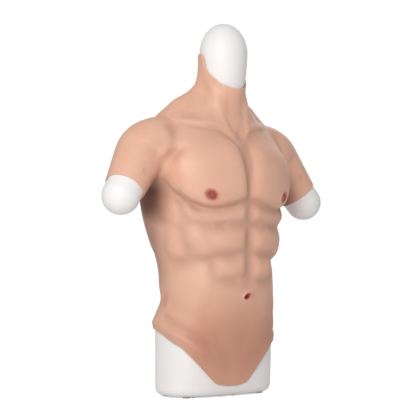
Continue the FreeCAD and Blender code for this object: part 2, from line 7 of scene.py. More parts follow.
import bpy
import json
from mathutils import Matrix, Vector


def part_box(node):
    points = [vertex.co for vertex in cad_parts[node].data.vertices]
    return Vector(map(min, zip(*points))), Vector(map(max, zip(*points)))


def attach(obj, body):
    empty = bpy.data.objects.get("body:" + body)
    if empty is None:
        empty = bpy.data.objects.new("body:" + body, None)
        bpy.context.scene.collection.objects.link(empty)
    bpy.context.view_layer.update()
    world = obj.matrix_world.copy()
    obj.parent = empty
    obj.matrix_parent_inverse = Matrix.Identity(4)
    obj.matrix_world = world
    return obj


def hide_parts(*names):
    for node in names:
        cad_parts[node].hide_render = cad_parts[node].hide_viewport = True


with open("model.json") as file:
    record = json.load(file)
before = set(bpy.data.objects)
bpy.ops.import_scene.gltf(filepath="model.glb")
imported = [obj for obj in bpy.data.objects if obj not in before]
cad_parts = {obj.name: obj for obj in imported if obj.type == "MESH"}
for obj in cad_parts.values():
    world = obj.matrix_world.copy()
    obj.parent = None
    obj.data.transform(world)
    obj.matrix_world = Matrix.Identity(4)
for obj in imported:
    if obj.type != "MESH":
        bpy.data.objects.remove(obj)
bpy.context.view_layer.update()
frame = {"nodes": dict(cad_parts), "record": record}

import json
import math

import bmesh
import bpy
import numpy as np
from mathutils import Vector

MM = 0.001
CELL = 3.4     # spacing of the skin's mesh
STEPS = 10       # relaxing passes over the skin's mesh
SKIN_THICKNESS = 3.2                  # silicone thickness at the hem, the cuffs and the collar
SKIN_BODY = 8.7                       # silicone thickness over the muscles
SKIN_LEAST = 1.5                      # silicone left at the bottom of the deepest grooves
RELIEF_DEPTH = 4.0                    # the trunk between the muscles lies this far in
BLEND_ARM = 22.0                      # rounding between the arms and the trunk
GRID_REACH = (345, 170, 165, 850)     # the skin is looked for this far: sideways, front, back and up
EDGE_SLACK = 0.55                     # faces may pass the skin's edge by this share of a cell
EVENING = 0.6                         # share of the way that a relaxing pass moves a point
INNER_SHARE = 0.16                    # share of its faces that the hidden inner side keeps
BATCH = 100000                        # points measured at one time, to save memory

HEAD_LOW, HEAD_HIGH = (Vector(c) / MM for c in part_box("head_shell"))
HEAD_Y = (HEAD_LOW.y + HEAD_HIGH.y) / 2
COLLAR_TOP = 808.0

# Cross-sections of the skin: height, half width, front, back, squareness (2 is an ellipse).
TRUNK = [
    (5, 158, -85.5, 82.5, 3.2),
    (28, 158, -85.5, 82.5, 3.2),
    (60, 157, -91, 85, 3.1),      # hips
    (120, 155, -103, 97, 2.7),
    (175, 155, -112, 108, 2.4),   # top of the hip bones
    (215, 144, -122, 105, 2.3),
    (260, 140, -127, 104, 2.3),   # navel
    (300, 137, -127, 108, 2.3),   # waist
    (350, 149, -127, 120, 2.3),
    (400, 165, -129, 132, 2.3),   # lowest ribs
    (450, 178, -134, 137, 2.3),   # lower edge of the chest muscles
    (500, 186, -141, 138, 2.3),   # widest chest and back
    (550, 184, -138, 132, 2.2),
    (600, 176, -108, 118, 2.1),   # pit of the neck
    (630, 158, -90, 100, 2.0),
    (655, 122, -84, 76, 2.0),     # collar bones
    (680, 82, -84, 46, 2.0),
    (700, 60, -86, 24, 2.0),      # foot of the neck
]
COLLAR = [(716, 51.5), (732, 52.5), (760, 58.0), (790, 61.0), (820, 61.5), (850, 61.5)]

# Shoulders: centre, tilt of the cross-section about Y in degrees, half height and half depth.
SHOULDER = [
    ((20, 0, 656), 0, 52, 40),
    ((60, 8, 652), 8, 62, 45),
    ((95, 11, 627), 12, 58, 55),
    ((130, 11, 599), 18, 62, 64),
    ((168, 8, 592), 28, 61, 68),
    ((197, 8, 581), 40, 61, 64),
]
# Arms: distance along the axis from the middle of the cuff, and radius.
CUFF = np.array([270.0, -10.0, 487.0])
ARM_AXIS = np.array([0.593, -0.191, -0.782])
ARM_AXIS = ARM_AXIS / np.linalg.norm(ARM_AXIS)
ARM = [(-104, 61), (-75, 57.5), (-45, 53.5), (-20, 50), (0, 47.5), (20, 45.5), (34, 44.5)]
STATIONS = 72                         # samples along one shoulder and arm
TRUNK_SAMPLES = 400
# Neck muscle that runs down from the nape onto the shoulder: centre and radius.
NECK_MUSCLE = [((22, -14, 778), 11), ((30, -7, 752), 14), ((38, -2, 729), 18), ((62, 2, 700), 21),
               ((88, 5, 678), 22)]
BLEND_NECK = 26.0                     # rounding between that muscle and the body

# Hem: lowest level in front, then rises, each over a span of degrees round to either side.
HEM_LOW = 28.0
HEM_RISES = [((8, 40), 8), ((26, 66), 82), ((52, 100), 42), ((100, 180), 27)]
HEM_SKEW = 8.0                        # the skin sits a little turned on the form, in degrees
# Collar: depth and height of its upper edge in side view, up to the tongue at the nape.
COLLAR_EDGE = [(-170, 716), (-112, 720), (-92, 723), (-76, 733), (-60, 750), (-46, 764), (-41, 776),
               (-37, 792), (-32, 803), (-22, COLLAR_TOP), (60, COLLAR_TOP)]

# The muscle chart wraps the trunk: degrees round from the front's middle line, and height.
CHART_MM = 2.6                        # millimetres on the trunk for one degree
CHART_CELL = 2.0
CHART_Y = -5.0                        # depth of the axis that the degrees are measured about
# The muscles' middle line wanders a few degrees: heights, and degrees towards the figure's right.
LEAN = [(250, 300, 400, 450, 500), (0, -2.5, -2.5, 0, 1.5)]


def smooth(low, high, value):
    """A smooth step from 0 at low to 1 at high."""
    t = np.clip((value - low) / (high - low), 0.0, 1.0)
    return t * t * (3 - 2 * t)


def right_side(p):
    """The same points with both halves of the body folded together."""
    return np.stack([np.abs(p[:, 0]), p[:, 1], p[:, 2]], 1)


def bearing(p):
    """Degrees round from the front's middle line, the same on both sides."""
    return np.degrees(np.arctan2(np.abs(p[:, 0]), CHART_Y - p[:, 1]))


def spline(rows, count):
    """Points of a smooth curve drawn by control rows, from the first row to the last."""
    rows = np.asarray(rows, float)
    rows = np.vstack([rows[:1], rows[:1], rows, rows[-1:], rows[-1:]])
    t = np.linspace(0, len(rows) - 3 - 1e-9, count)
    i = t.astype(int)
    f = (t - i)[:, None]
    a, b, c, d = (rows[i + k] for k in range(4))
    early = (1 - f) ** 3 * a + (3 * f**3 - 6 * f**2 + 4) * b
    return (early + (-3 * f**3 + 3 * f**2 + 3 * f + 1) * c + f**3 * d) / 6


def trunk_table():
    """Samples of the trunk's sections over its height."""
    rows = list(TRUNK)
    for height, radius in COLLAR:
        rows.append((height, radius, HEAD_Y - radius, HEAD_Y + radius, 2.0))
    return spline(rows, TRUNK_SAMPLES)


def limb_table():
    """Stations along one shoulder and arm: centre, up, depth, half height, half depth."""
    rows = []
    for centre, tilt, half_height, half_depth in SHOULDER:
        angle = math.radians(tilt)
        rows.append([*centre, math.sin(angle), 0, math.cos(angle), 0, 1, 0, half_height, half_depth])
    depth = np.array([0.0, 1.0, 0.0])
    depth -= ARM_AXIS * depth.dot(ARM_AXIS)
    depth /= np.linalg.norm(depth)
    up = np.cross(ARM_AXIS, depth)
    for s, radius in ARM:
        rows.append([*(CUFF + ARM_AXIS * s), *up, *depth, radius, radius])
    table = spline(rows, STATIONS)
    for k in (3, 6):
        table[:, k:k + 3] /= np.linalg.norm(table[:, k:k + 3], axis=1)[:, None]
    return table


TRUNK_TABLE = trunk_table()
LIMB_TABLE = limb_table()
LIMB_ALONG = np.gradient(LIMB_TABLE[:, :3], axis=0)


def radial_distance(u, v, half_u, half_v, squareness):
    """Distance outside a rounded cross-section, measured from its centre."""
    q = ((np.abs(u) / half_u) ** squareness + (np.abs(v) / half_v) ** squareness) ** (1 / squareness)
    r = np.hypot(u, v)
    return r - r / np.maximum(q, 1e-4)


def trunk_field(p):
    """Distance outside the trunk."""
    heights = TRUNK_TABLE[:, 0]
    half, front, back, squareness = (np.interp(p[:, 2], heights, TRUNK_TABLE[:, k]) for k in (1, 2, 3, 4))
    half_depth = (back - front) / 2
    return radial_distance(p[:, 0], p[:, 1] - (back + front) / 2, half, half_depth, squareness)


def along_limb(s):
    """Row of the limb's table and its direction at fractional stations."""
    i = s.astype(int)
    f = (s - i)[:, None]
    return tuple(table[i] * (1 - f) + table[i + 1] * f for table in (LIMB_TABLE, LIMB_ALONG))


def limb_field(p):
    """Distance outside the shoulder and arm."""
    p = right_side(p)
    centres = LIMB_TABLE[:, :3]
    s = np.empty(len(p))
    for start in range(0, len(p), BATCH):
        part = p[start:start + BATCH]
        gap = (centres**2).sum(1)[None] - 2 * part @ centres.T
        s[start:start + BATCH] = gap.argmin(1)
    s = np.clip(s, 0, STATIONS - 1.001)
    for _ in range(6):
        row, along = along_limb(s)
        ahead = ((p - row[:, :3]) * along).sum(1) / (along**2).sum(1)
        s = np.clip(s + 0.6 * ahead, 0, STATIONS - 1.001)
    row, along = along_limb(s)
    offset = p - row[:, :3]
    u = (offset * row[:, 3:6]).sum(1)
    v = (offset * row[:, 6:9]).sum(1)
    w = (offset * along).sum(1) / np.linalg.norm(along, axis=1)
    side = radial_distance(u, v, row[:, 9], row[:, 10], 2.0)
    at_end = (s <= 0) | (s >= STATIONS - 1.01)
    return np.where(at_end, np.hypot(np.maximum(side, 0), w), side)


def neck_field(p):
    """Distance outside the neck muscle, a row of balls joined by cones."""
    p = right_side(p)
    best = np.full(len(p), 1e3)
    for (a, ra), (b, rb) in zip(NECK_MUSCLE, NECK_MUSCLE[1:]):
        a, d = np.array(a, float), np.subtract(b, a)
        t = np.clip(((p - a) @ d) / (d @ d), 0, 1)
        gap = np.linalg.norm(p - (a + t[:, None] * d), axis=1) - (ra + (rb - ra) * t)
        best = np.minimum(best, gap)
    return best


def joined(first, second, rounding):
    """Smooth union of two distances."""
    h = np.clip(0.5 + 0.5 * (second - first) / rounding, 0, 1)
    return second * (1 - h) + first * h - rounding * h * (1 - h)


def body_field(p):
    """Distance outside the whole body."""
    trunk = trunk_field(p)
    body = trunk * 1.0
    shoulders = p[:, 2] > 420
    body[shoulders] = joined(trunk[shoulders], limb_field(p[shoulders]), BLEND_ARM)
    neck = p[:, 2] > 620
    body[neck] = joined(body[neck], neck_field(p[neck]), BLEND_NECK)
    return body


def gradient(field, p, value=None, step=0.5):
    """Slope of a field at points."""
    value = field(p) if value is None else value
    return np.stack([(field(p + np.eye(3)[k] * step) - value) / step for k in range(3)], 1)


def hem_height(degrees):
    """Height of the hem at an angle round from its own middle line."""
    return HEM_LOW + sum(rise * smooth(low, high, np.abs(degrees)) for (low, high), rise in HEM_RISES)


def hem_field(p):
    """Distance above the hem."""
    degrees = np.degrees(np.arctan2(-p[:, 0], CHART_Y - p[:, 1])) - HEM_SKEW
    degrees = (degrees + 180) % 360 - 180
    radius = np.maximum(np.hypot(p[:, 0], p[:, 1] - CHART_Y), 40)
    slope = (hem_height(degrees + 1) - hem_height(degrees - 1)) / 2 / np.radians(radius)
    return (p[:, 2] - hem_height(degrees)) / np.hypot(1, slope)


def trim_field(p):
    """Distance inside the nearest edge of the skin: hem, collar or cuff."""
    edge = np.array(COLLAR_EDGE, float)
    slope = np.gradient(edge[:, 1], edge[:, 0])
    steep = np.hypot(1, np.interp(p[:, 1], edge[:, 0], slope))
    collar = (np.interp(p[:, 1], edge[:, 0], edge[:, 1]) - p[:, 2]) / steep
    q = right_side(p)
    cuff = np.where(q[:, 0] > 200, (CUFF - q) @ ARM_AXIS, 1e3)
    return np.minimum(np.minimum(collar, hem_field(p)), cuff)


def surface_net(cell):
    """Quads on the body's surface from a grid of distances. Returns points and faces."""
    count = [int(math.ceil(s / cell)) for s in GRID_REACH]
    x = np.arange(0, count[0] + 1) * cell
    y = np.arange(-count[1], count[2] + 1) * cell
    z = np.arange(-1, count[3] + 1) * cell
    grid = np.stack(np.meshgrid(x, y, z, indexing="ij"), -1).reshape(-1, 3)
    half = body_field(grid).reshape(len(x), len(y), len(z))
    field = np.concatenate([half[:0:-1], half], 0)
    origin = np.array([-x[-1], y[0], z[0]])

    inside = field < 0
    total = np.zeros([n - 1 for n in field.shape], int)
    corners = [(i, j, k) for i in (0, 1) for j in (0, 1) for k in (0, 1)]
    for i, j, k in corners:
        total += inside[i:i + total.shape[0], j:j + total.shape[1], k:k + total.shape[2]]
    cells = np.argwhere((total > 0) & (total < 8))
    index = np.full(total.shape, -1)
    index[tuple(cells.T)] = np.arange(len(cells))

    sums = np.zeros((len(cells), 3))
    hits = np.zeros(len(cells))
    for a in corners:
        for axis in range(3):
            if a[axis]:
                continue
            b = list(a)
            b[axis] = 1
            fa = field[tuple((cells + a).T)]
            fb = field[tuple((cells + b).T)]
            cross = (fa < 0) != (fb < 0)
            t = np.where(cross, fa / np.where(cross, fa - fb, 1), 0)
            point = np.array(a, float)[None] + np.eye(3)[axis] * t[:, None]
            sums += point * cross[:, None]
            hits += cross
    points = origin + (cells + sums / hits[:, None]) * cell

    faces = []
    for axis in range(3):
        one, two = (axis + 1) % 3, (axis + 2) % 3
        low = [slice(1, -1)] * 3
        low[axis] = slice(0, -1)
        high = list(low)
        high[axis] = slice(1, None)
        a, b = inside[tuple(low)], inside[tuple(high)]
        for start, flip in ((a & ~b, False), (b & ~a, True)):
            at = np.argwhere(start)
            for k in range(3):
                at[:, k] += 0 if k == axis else 1
            quad = []
            for d1, d2 in ((-1, -1), (0, -1), (0, 0), (-1, 0)):
                c = at.copy()
                c[:, one] += d1
                c[:, two] += d2
                quad.append(index[tuple(c.T)])
            quad = np.stack(quad, 1)
            faces.append(quad[:, ::-1] if flip else quad)
    return points, np.concatenate(faces)


def all_edges(faces):
    """Edges of quads as sorted pairs, each once."""
    pairs = np.sort(np.concatenate([faces[:, [k, (k + 1) % 4]] for k in range(4)]), 1)
    return np.unique(pairs, axis=0)


def boundary_edges(faces):
    """Directed edges that only one face uses."""
    directed = np.concatenate([faces[:, [k, (k + 1) % 4]] for k in range(4)])
    sorted_pairs = np.sort(directed, 1)
    _, inverse, counts = np.unique(sorted_pairs, axis=0, return_inverse=True, return_counts=True)
    return directed[counts[inverse.ravel()] == 1]


def compact(points, faces):
    """Drops points that no face uses."""
    used = np.unique(faces)
    renumber = np.full(len(points), -1)
    renumber[used] = np.arange(len(used))
    return points[used], renumber[faces]


def trimmed(points, faces, cell):
    """Keeps the faces inside the hem, collar and cuffs, without spikes."""
    keep = (trim_field(points)[faces] > -EDGE_SLACK * cell).all(1)
    faces = faces[keep]
    for _ in range(4):
        edges = boundary_edges(faces)
        rim = {tuple(sorted(e)) for e in edges.tolist()}
        rows = faces.tolist()
        free = np.array([[tuple(sorted((f[k], f[(k + 1) % 4]))) in rim for k in range(4)] for f in rows])
        faces = faces[free.sum(1) < 3]
    return compact(points, faces)


def drop(points, field):
    """Moves points onto the surface where a field is zero."""
    value = field(points)
    slope = gradient(field, points, value)
    length = np.maximum((slope**2).sum(1), 0.05)
    return points - slope * (value / length)[:, None], slope


def relax(points, faces, steps):
    """Evens the mesh out along the surface, its rim staying on the edge line."""
    pairs = all_edges(faces)
    rim = boundary_edges(faces)
    on_rim = np.zeros(len(points), bool)
    on_rim[rim.ravel()] = True
    inner = pairs[~(on_rim[pairs[:, 0]] & on_rim[pairs[:, 1]])]
    for _ in range(steps):
        sums = np.zeros_like(points)
        counts = np.zeros(len(points))
        for a, b in ((0, 1), (1, 0)):
            take = ~on_rim[inner[:, a]]
            np.add.at(sums, inner[take, a], points[inner[take, b]])
            np.add.at(counts, inner[take, a], 1)
            np.add.at(sums, rim[:, a], points[rim[:, b]])
            np.add.at(counts, rim[:, a], 1)
        mean = sums / np.maximum(counts, 1)[:, None]
        points = points + EVENING * (mean - points) * (counts > 0)[:, None]
        points, slope = drop(points, body_field)
        for _ in range(2):
            points[on_rim], _ = drop(points[on_rim], trim_field)
            points[on_rim], _ = drop(points[on_rim], body_field)
    slope = gradient(body_field, points)
    return points, slope / np.linalg.norm(slope, axis=1)[:, None], rim


# ---------------------------------------------------------------- muscles

class Chart:
    """Height map of the muscles over degrees round the trunk and height."""

    def __init__(self):
        self.u = np.arange(0, 180 * CHART_MM + CHART_CELL, CHART_CELL)
        self.z = np.arange(0, 760, CHART_CELL)
        self.grid = np.stack(np.meshgrid(self.u, self.z, indexing="ij"), -1).reshape(-1, 2)
        self.height = np.zeros((len(self.u), len(self.z)))

    def to_segments(self, outline, closed):
        """Distance and side of every chart point from a line through corners."""
        corners = np.array([(deg * CHART_MM, z) for deg, z in outline], float)
        ends = np.roll(corners, -1, 0) if closed else corners[1:]
        starts = corners if closed else corners[:-1]
        best = np.full(len(self.grid), 1e9)
        along = np.zeros(len(self.grid))
        inside = np.zeros(len(self.grid), bool)
        for i, (a, b) in enumerate(zip(starts, ends)):
            d = b - a
            t = np.clip(((self.grid - a) @ d) / (d @ d), 0, 1)
            gap = np.linalg.norm(self.grid - (a + t[:, None] * d), axis=1)
            nearer = gap < best
            best = np.where(nearer, gap, best)
            along = np.where(nearer, (i + t) / len(starts), along)
            spans = (a[1] > self.grid[:, 1]) != (b[1] > self.grid[:, 1])
            rise = np.where(spans, (self.grid[:, 1] - a[1]) / np.where(spans, b[1] - a[1], 1), 0)
            inside ^= spans & (self.grid[:, 0] < a[0] + rise * d[0])
        return best, along, inside

    def soften(self, layer, radius):
        """Blurs a layer, mirrored at both middle lines."""
        reach = max(1, int(2.5 * radius / CHART_CELL))
        kernel = np.exp(-0.5 * (np.arange(-reach, reach + 1) * CHART_CELL / radius) ** 2)
        kernel /= kernel.sum()
        layer = np.pad(layer, ((reach, reach), (reach, reach)), mode="reflect")
        for axis in (0, 1):
            layer = np.apply_along_axis(lambda row: np.convolve(row, kernel, "same"), axis, layer)
        return layer[reach:-reach, reach:-reach]

    def bulge(self, outline, height, edge, blur=4.0, steep=True, top=None):
        """A muscle belly that rises from its outline and flattens over edge millimetres.

        Steep bellies have the side of a circle, others of a parabola. With top it thins out towards
        that level.
        """
        gap, _, inside = self.to_segments(outline, True)
        rise = 1 - (1 - np.clip(gap / edge, 0, 1)) ** 2
        layer = np.where(inside, height * (np.sqrt(rise) if steep else rise), 0)
        if top:
            layer *= 1 - 0.75 * smooth(top - 70, top, self.grid[:, 1])
        self.height += self.soften(layer.reshape(self.height.shape), blur)

    def line(self, points, height, width, fade=0.2):
        """A ridge, or a groove where height is negative, that fades at its ends."""
        gap, along, _ = self.to_segments(points, False)
        ends = np.clip(np.minimum(along, 1 - along) / fade, 0, 1)
        layer = height * np.exp(-((gap / width) ** 2)) * ends
        self.height += layer.reshape(self.height.shape)

    def read(self, p):
        """Chart height at points of the body."""
        degrees = np.degrees(np.arctan2(-p[:, 0], CHART_Y - p[:, 1]))
        lean = np.interp(p[:, 2], *LEAN) * (1 - smooth(60, 120, np.abs(degrees)))
        u = np.clip(np.abs(degrees - lean) * CHART_MM / CHART_CELL, 0, len(self.u) - 1.001)
        v = np.clip(p[:, 2] / CHART_CELL, 0, len(self.z) - 1.001)
        i, j = u.astype(int), v.astype(int)
        f, g = u - i, v - j
        h = self.height
        low = h[i, j] * (1 - f) + h[i + 1, j] * f
        high = h[i, j + 1] * (1 - f) + h[i + 1, j + 1] * f
        return low * (1 - g) + high * g


def front_muscles(chart):
    """Chest, belly, ribs and hips."""
    chest = [(3, 466), (10, 459), (20, 450), (30, 444), (40, 441), (50, 443), (57, 450), (63, 462),
             (68, 477), (73, 492), (78, 507), (83, 518), (88, 524), (93, 529), (99, 540), (100, 570),
             (94, 600), (82, 622), (70, 634), (58, 630), (45, 625), (30, 617), (20, 607), (12, 596),
             (8.5, 580), (7, 555), (5.5, 530), (4, 500)]
    chart.bulge(chest, 17, 32, 4, top=628)
    bands = [
        ([(3.5, 408), (3.5, 452), (12, 450), (22, 443), (34, 437), (46, 437), (56, 443), (63, 448), (69, 440),
          (68, 420), (62, 405), (50, 401), (40, 399), (26, 402), (20, 406), (10, 406)], 11, 28),
        ([(4, 343), (3.5, 398), (12, 400), (26, 401), (40, 397), (52, 399), (62, 402), (69, 395), (70, 370),
          (66, 345), (60, 326), (52, 318), (45, 322), (40, 331), (34, 333), (20, 334), (10, 338)], 14, 34),
        ([(4.5, 286), (4, 335), (12, 335), (20, 330), (36, 329), (43, 322), (42, 300), (39, 284), (30, 275),
          (20, 274), (10, 279)], 12, 30),
        ([(70, 318), (70, 345), (72, 380), (76, 400), (86, 395), (92, 370), (94, 345), (90, 328),
          (82, 317)], 9, 30),
        ([(70, 405), (72, 440), (78, 465), (86, 480), (92, 470), (92, 430), (88, 402), (78, 400)], 8, 26),
    ]
    for outline, height, edge in bands:
        chart.bulge(outline, height, edge, 6, steep=False)
    belly = [(-6, 150), (-6, 262), (2, 270), (10, 276), (20, 270), (36, 268), (47, 280), (50, 255), (49, 215),
             (44, 175), (36, 140), (25, 100), (12, 70), (-6, 55)]
    chart.bulge(belly, 5, 40, 12)
    flank = [(47, 312), (58, 312), (66, 306), (80, 308), (95, 318), (102, 290), (99, 262), (90, 240),
             (78, 222), (66, 206), (54, 200), (47, 215), (42, 245), (43, 285)]
    chart.bulge(flank, 5, 36, 6)
    hip = [(40, 116), (52, 129), (62, 143), (72, 155), (82, 165), (92, 173), (104, 178), (122, 180),
           (136, 172), (126, 152), (112, 144), (98, 140), (86, 132), (74, 122), (62, 108), (50, 98)]
    chart.bulge(hip, 9, 22, 9)
    chart.line([(6, 461), (20, 447), (30, 441), (40, 438), (50, 441), (58, 450), (66, 468)], -2.5, 7)
    chart.line(list(zip(*CHEST_EDGE)), -3.5, 9, 0.15)
    chart.line([(0, 470), (0, 250)], -1.2, 14, 0.15)
    for points, height in (
        ([(3, 406), (16, 405)], -2),                   # short hollows where the belly's bands part
        ([(28, 401), (42, 399)], -3),
        ([(54, 382), (47, 372), (40, 361)], -2),
        ([(6, 339), (20, 333), (36, 331)], -1.5),
        ([(12, 277), (20, 273), (30, 274), (38, 282)], -2.5),
        ([(76, 459), (69, 446), (66, 420), (54, 407)], -2.5),  # under and between the ribs
        ([(42, 330), (52, 321), (61, 330)], -3.5),
        ([(66, 332), (74, 319), (86, 319)], -3),
    ):
        chart.line(points, height, 9, 0.35)
    chart.line([(90, 224), (110, 228), (130, 230), (150, 226)], -7, 24, 0.15)  # waist above the hip bone
    chart.line([(0, 590), (0, 470)], -2, 8, 0.1)
    chart.line([(40, 108), (50, 128), (62, 149), (71, 162), (80, 175), (88, 187), (96, 200)], -4.5, 8, 0.12)


def back_muscles(chart):
    """Back, from the neck's foot to the hem."""
    chart.bulge([(98, 520), (112, 535), (132, 510), (150, 450), (163, 380), (167, 330), (150, 318),
                 (130, 335), (112, 375), (100, 430), (94, 480)], 8, 44, 6)
    chart.bulge([(112, 540), (112, 585), (122, 615), (140, 618), (152, 590), (154, 545), (142, 512),
                 (124, 515)],
                8, 34, 5)
    chart.bulge([(178.5, 400), (168, 470), (158, 545), (156, 600), (150, 640), (178, 650)], 6, 26, 4)
    chart.bulge([(176, 190), (163, 190), (160, 240), (163, 310), (170, 390), (177, 390)], 7, 22, 8)
    chart.line([(180, 660), (180, 170)], -3, 12, 0.15)
    chart.line([(104, 505), (125, 512), (150, 520)], -2.5, 9)


# Ridges and grooves of the shoulders and neck, drawn in space: places, height and width.
LINES = [
    ([(174, -27, 654), (151, -44, 647), (129, -52, 641), (107, -63, 633), (87, -74, 629), (57, -85, 627),
      (36, -94, 616), (22, -104, 598)], -1.8, 5),                       # crease under the collar bone
    ([(172, -22, 664), (150, -38, 658), (128, -48, 652), (107, -58, 644), (87, -68, 640), (57, -80, 638),
      (34, -88, 628), (20, -94, 614)], 3.5, 9),                         # collar bone
    ([(130, -36, 668), (100, -46, 662), (70, -58, 658), (45, -72, 655)], -3, 12),
    ([(12, -100, 604), (30, -88, 640), (44, -72, 690), (53, -50, 735), (55, -36, 760)], 3, 10),
    ([(36, -81, 668), (24, -86, 645), (17, -96, 616)], -2, 7),          # inner side of the neck's cord
    ([(20, -93, 655), (24, -89, 705)], -3, 9),
    ([(0, -92, 625), (0, -104, 603)], -3, 11),                          # pit of the neck
    ([(170, -41, 644), (160, -54, 625), (161, -59, 606), (170, -56, 574)], -4.5, 15),
    ([(254, -52, 526), (234, -54, 522), (212, -44, 519), (196, -28, 516)], -3, 9),
    ([(212, 62, 600), (232, 52, 560), (250, 40, 525)], -3, 12),
]


def line_relief(p):
    """Ridges and grooves drawn in space, on both sides."""
    q = right_side(p)
    total = np.zeros(len(q))
    for points, height, width in LINES:
        points = np.array(points, float)
        best = np.full(len(q), 1e9)
        along = np.zeros(len(q))
        for i, (a, b) in enumerate(zip(points, points[1:])):
            d = b - a
            t = np.clip(((q - a) @ d) / (d @ d), 0, 1)
            gap = np.linalg.norm(q - (a + t[:, None] * d), axis=1)
            along = np.where(gap < best, (i + t) / (len(points) - 1), along)
            best = np.minimum(best, gap)
        ends = np.clip(np.minimum(along, 1 - along) / 0.15, 0.25, 1)
        total += height * np.exp(-((best / width) ** 2)) * ends
    return total


NIPPLE = (42.3, 471.0)                # degrees and height on the chart
NIPPLE_TILT = 40.0                    # the areola's long axis leans outwards, in degrees
AREOLA = (15.5, 13.5)                 # half lengths of the areola
NAVEL = (0.0, 237.0)
NAVEL_TILT = -14.0
NAVEL_OVAL = (13.5, 7.5)              # half lengths of the navel
ARMPIT = np.array([195.0, 36.0, 464.0])  # the painted shade under the arms: centre and reach
ARMPIT_REACH = np.array([74.0, 112.0, 92.0])
# Outer end of the chest's lower edge, up to the armpit: degrees, and heights.
CHEST_EDGE = ([46, 56, 63, 69, 75, 82], [439, 448, 462, 480, 500, 520])
FLANK_SHADE = 0.45                    # full strength of the painted shade on the sides of the trunk, in the grooves between muscles and under the outer end of the chest
GROOVE_SHADE = 0.3                    # in the grooves between muscles
CHEST_SHADE = 0.45                    # and under the outer end of the chest
DETAIL_REACH = (2.2, 1.5)             # the mesh is made finer within these ovals, one after the other


def oval_radius(p, centre, tilt, long_half, short_half, folded):
    """Distance from the middle of an oval on the chart: 1 at its outline."""
    across = np.abs(p[:, 0]) if folded else -p[:, 0]
    u = (np.degrees(np.arctan2(across, CHART_Y - p[:, 1])) - centre[0]) * CHART_MM
    v = p[:, 2] - centre[1]
    c, s = math.cos(math.radians(tilt)), math.sin(math.radians(tilt))
    return np.hypot((u * c + v * s) / long_half, (v * c - u * s) / short_half)


def areola_radius(p):
    """Distance from the nipple, 1 at the areola's outline, a little ragged."""
    ragged = 1 + 0.07 * np.sin(0.9 * p[:, 0] + 0.4 * p[:, 2]) * np.sin(0.8 * p[:, 2])
    return oval_radius(p, NIPPLE, NIPPLE_TILT, *AREOLA, True) * ragged


def navel_radius(p):
    """Distance from the navel, 1 at its outline."""
    return oval_radius(p, NAVEL, NAVEL_TILT, *NAVEL_OVAL, False)


def small_relief(p):
    """Nipples with their rough areolae, and the hooded navel with its rim."""
    r = areola_radius(p)
    grain = np.sin(p[:, 0] * 2.3) * np.sin(p[:, 2] * 2.1 + p[:, 0]) * 0.45
    areola = (1.3 + grain) * (1 - smooth(0.75, 1.1, r))
    nipple = 4.0 * np.sqrt(np.clip(1 - (r / 0.36) ** 2, 0, 1))
    n = navel_radius(p)
    hood = 1 + 0.6 * np.tanh((p[:, 2] - NAVEL[1]) / 4)
    navel = 2.6 * hood * np.exp(-(((n - 1.25) / 0.45) ** 2)) - 9 * (1 - smooth(0.15, 1.0, n))
    return areola + nipple + navel


def skin_cover(p):
    """Thickness of the silicone: thin at its edges and over the hips, thick over the muscles."""
    z = p[:, 2]
    thick = smooth(10, 60, trim_field(p)) * smooth(160, 220, z) * (1 - smooth(680, 712, z))
    return SKIN_THICKNESS + (SKIN_BODY - SKIN_THICKNESS) * thick


def fold(p):
    """The fold between arm and chest, 1 at its bottom, where muscles would run into each other."""
    depth = np.zeros(len(p))
    near = (p[:, 2] > 485) & (p[:, 2] < 600) & (np.abs(p[:, 0]) > 100)
    q = p[near]
    apart = np.abs(trunk_field(q) - limb_field(q))
    depth[near] = (1 - smooth(4, 36, apart)) * smooth(485, 520, q[:, 2]) * (1 - smooth(565, 600, q[:, 2]))
    return depth


def muscle_relief(p, chart):
    """How far the muscles stand out from the drawn cross-sections."""
    calm = smooth(2, 20, trim_field(p))
    on_trunk = 1 - smooth(4, 42, trunk_field(p))
    side = bearing(p)
    flank = smooth(90, 108, side) * (1 - smooth(140, 158, side)) * (1 - smooth(330, 400, p[:, 2]))
    sunk = -RELIEF_DEPTH * smooth(190, 250, p[:, 2]) * (1 - smooth(590, 650, p[:, 2])) * (1 - 1.1 * flank)
    return ((chart.read(p) + sunk) * on_trunk * (1 - fold(p)) + line_relief(p)) * calm


def relief(p, chart):
    """Muscles and small details, kept clear of the form under the silicone."""
    return np.maximum(muscle_relief(p, chart) + small_relief(p), SKIN_LEAST - skin_cover(p))


def refine(points, faces):
    """Splits faces near the nipples and the navel, twice."""
    bm = bmesh.new()
    verts = [bm.verts.new(p) for p in points]
    for face in faces:
        bm.faces.new([verts[i] for i in face])
    bm.verts.ensure_lookup_table()
    for reach in DETAIL_REACH:
        co = np.array([v.co for v in bm.verts])
        near = np.minimum(areola_radius(co), navel_radius(co)) < reach
        bm.verts.index_update()
        edges = [e for e in bm.edges if near[e.verts[0].index] and near[e.verts[1].index]]
        bmesh.ops.subdivide_edges(bm, edges=edges, cuts=1, use_grid_fill=True)
        bm.verts.ensure_lookup_table()
    bm.verts.index_update()
    co = np.array([v.co for v in bm.verts])
    polys = [[v.index for v in f.verts] for f in bm.faces]
    bm.free()
    return co, polys


def new_mesh(name, points, polys):
    """A Blender mesh object from points in millimetres."""
    mesh = bpy.data.meshes.new(name)
    mesh.from_pydata((np.asarray(points) * MM).tolist(), [], [list(map(int, p)) for p in polys])
    mesh.validate()
    mesh.shade_smooth()
    obj = bpy.data.objects.new(name, mesh)
    bpy.context.scene.collection.objects.link(obj)
    return obj


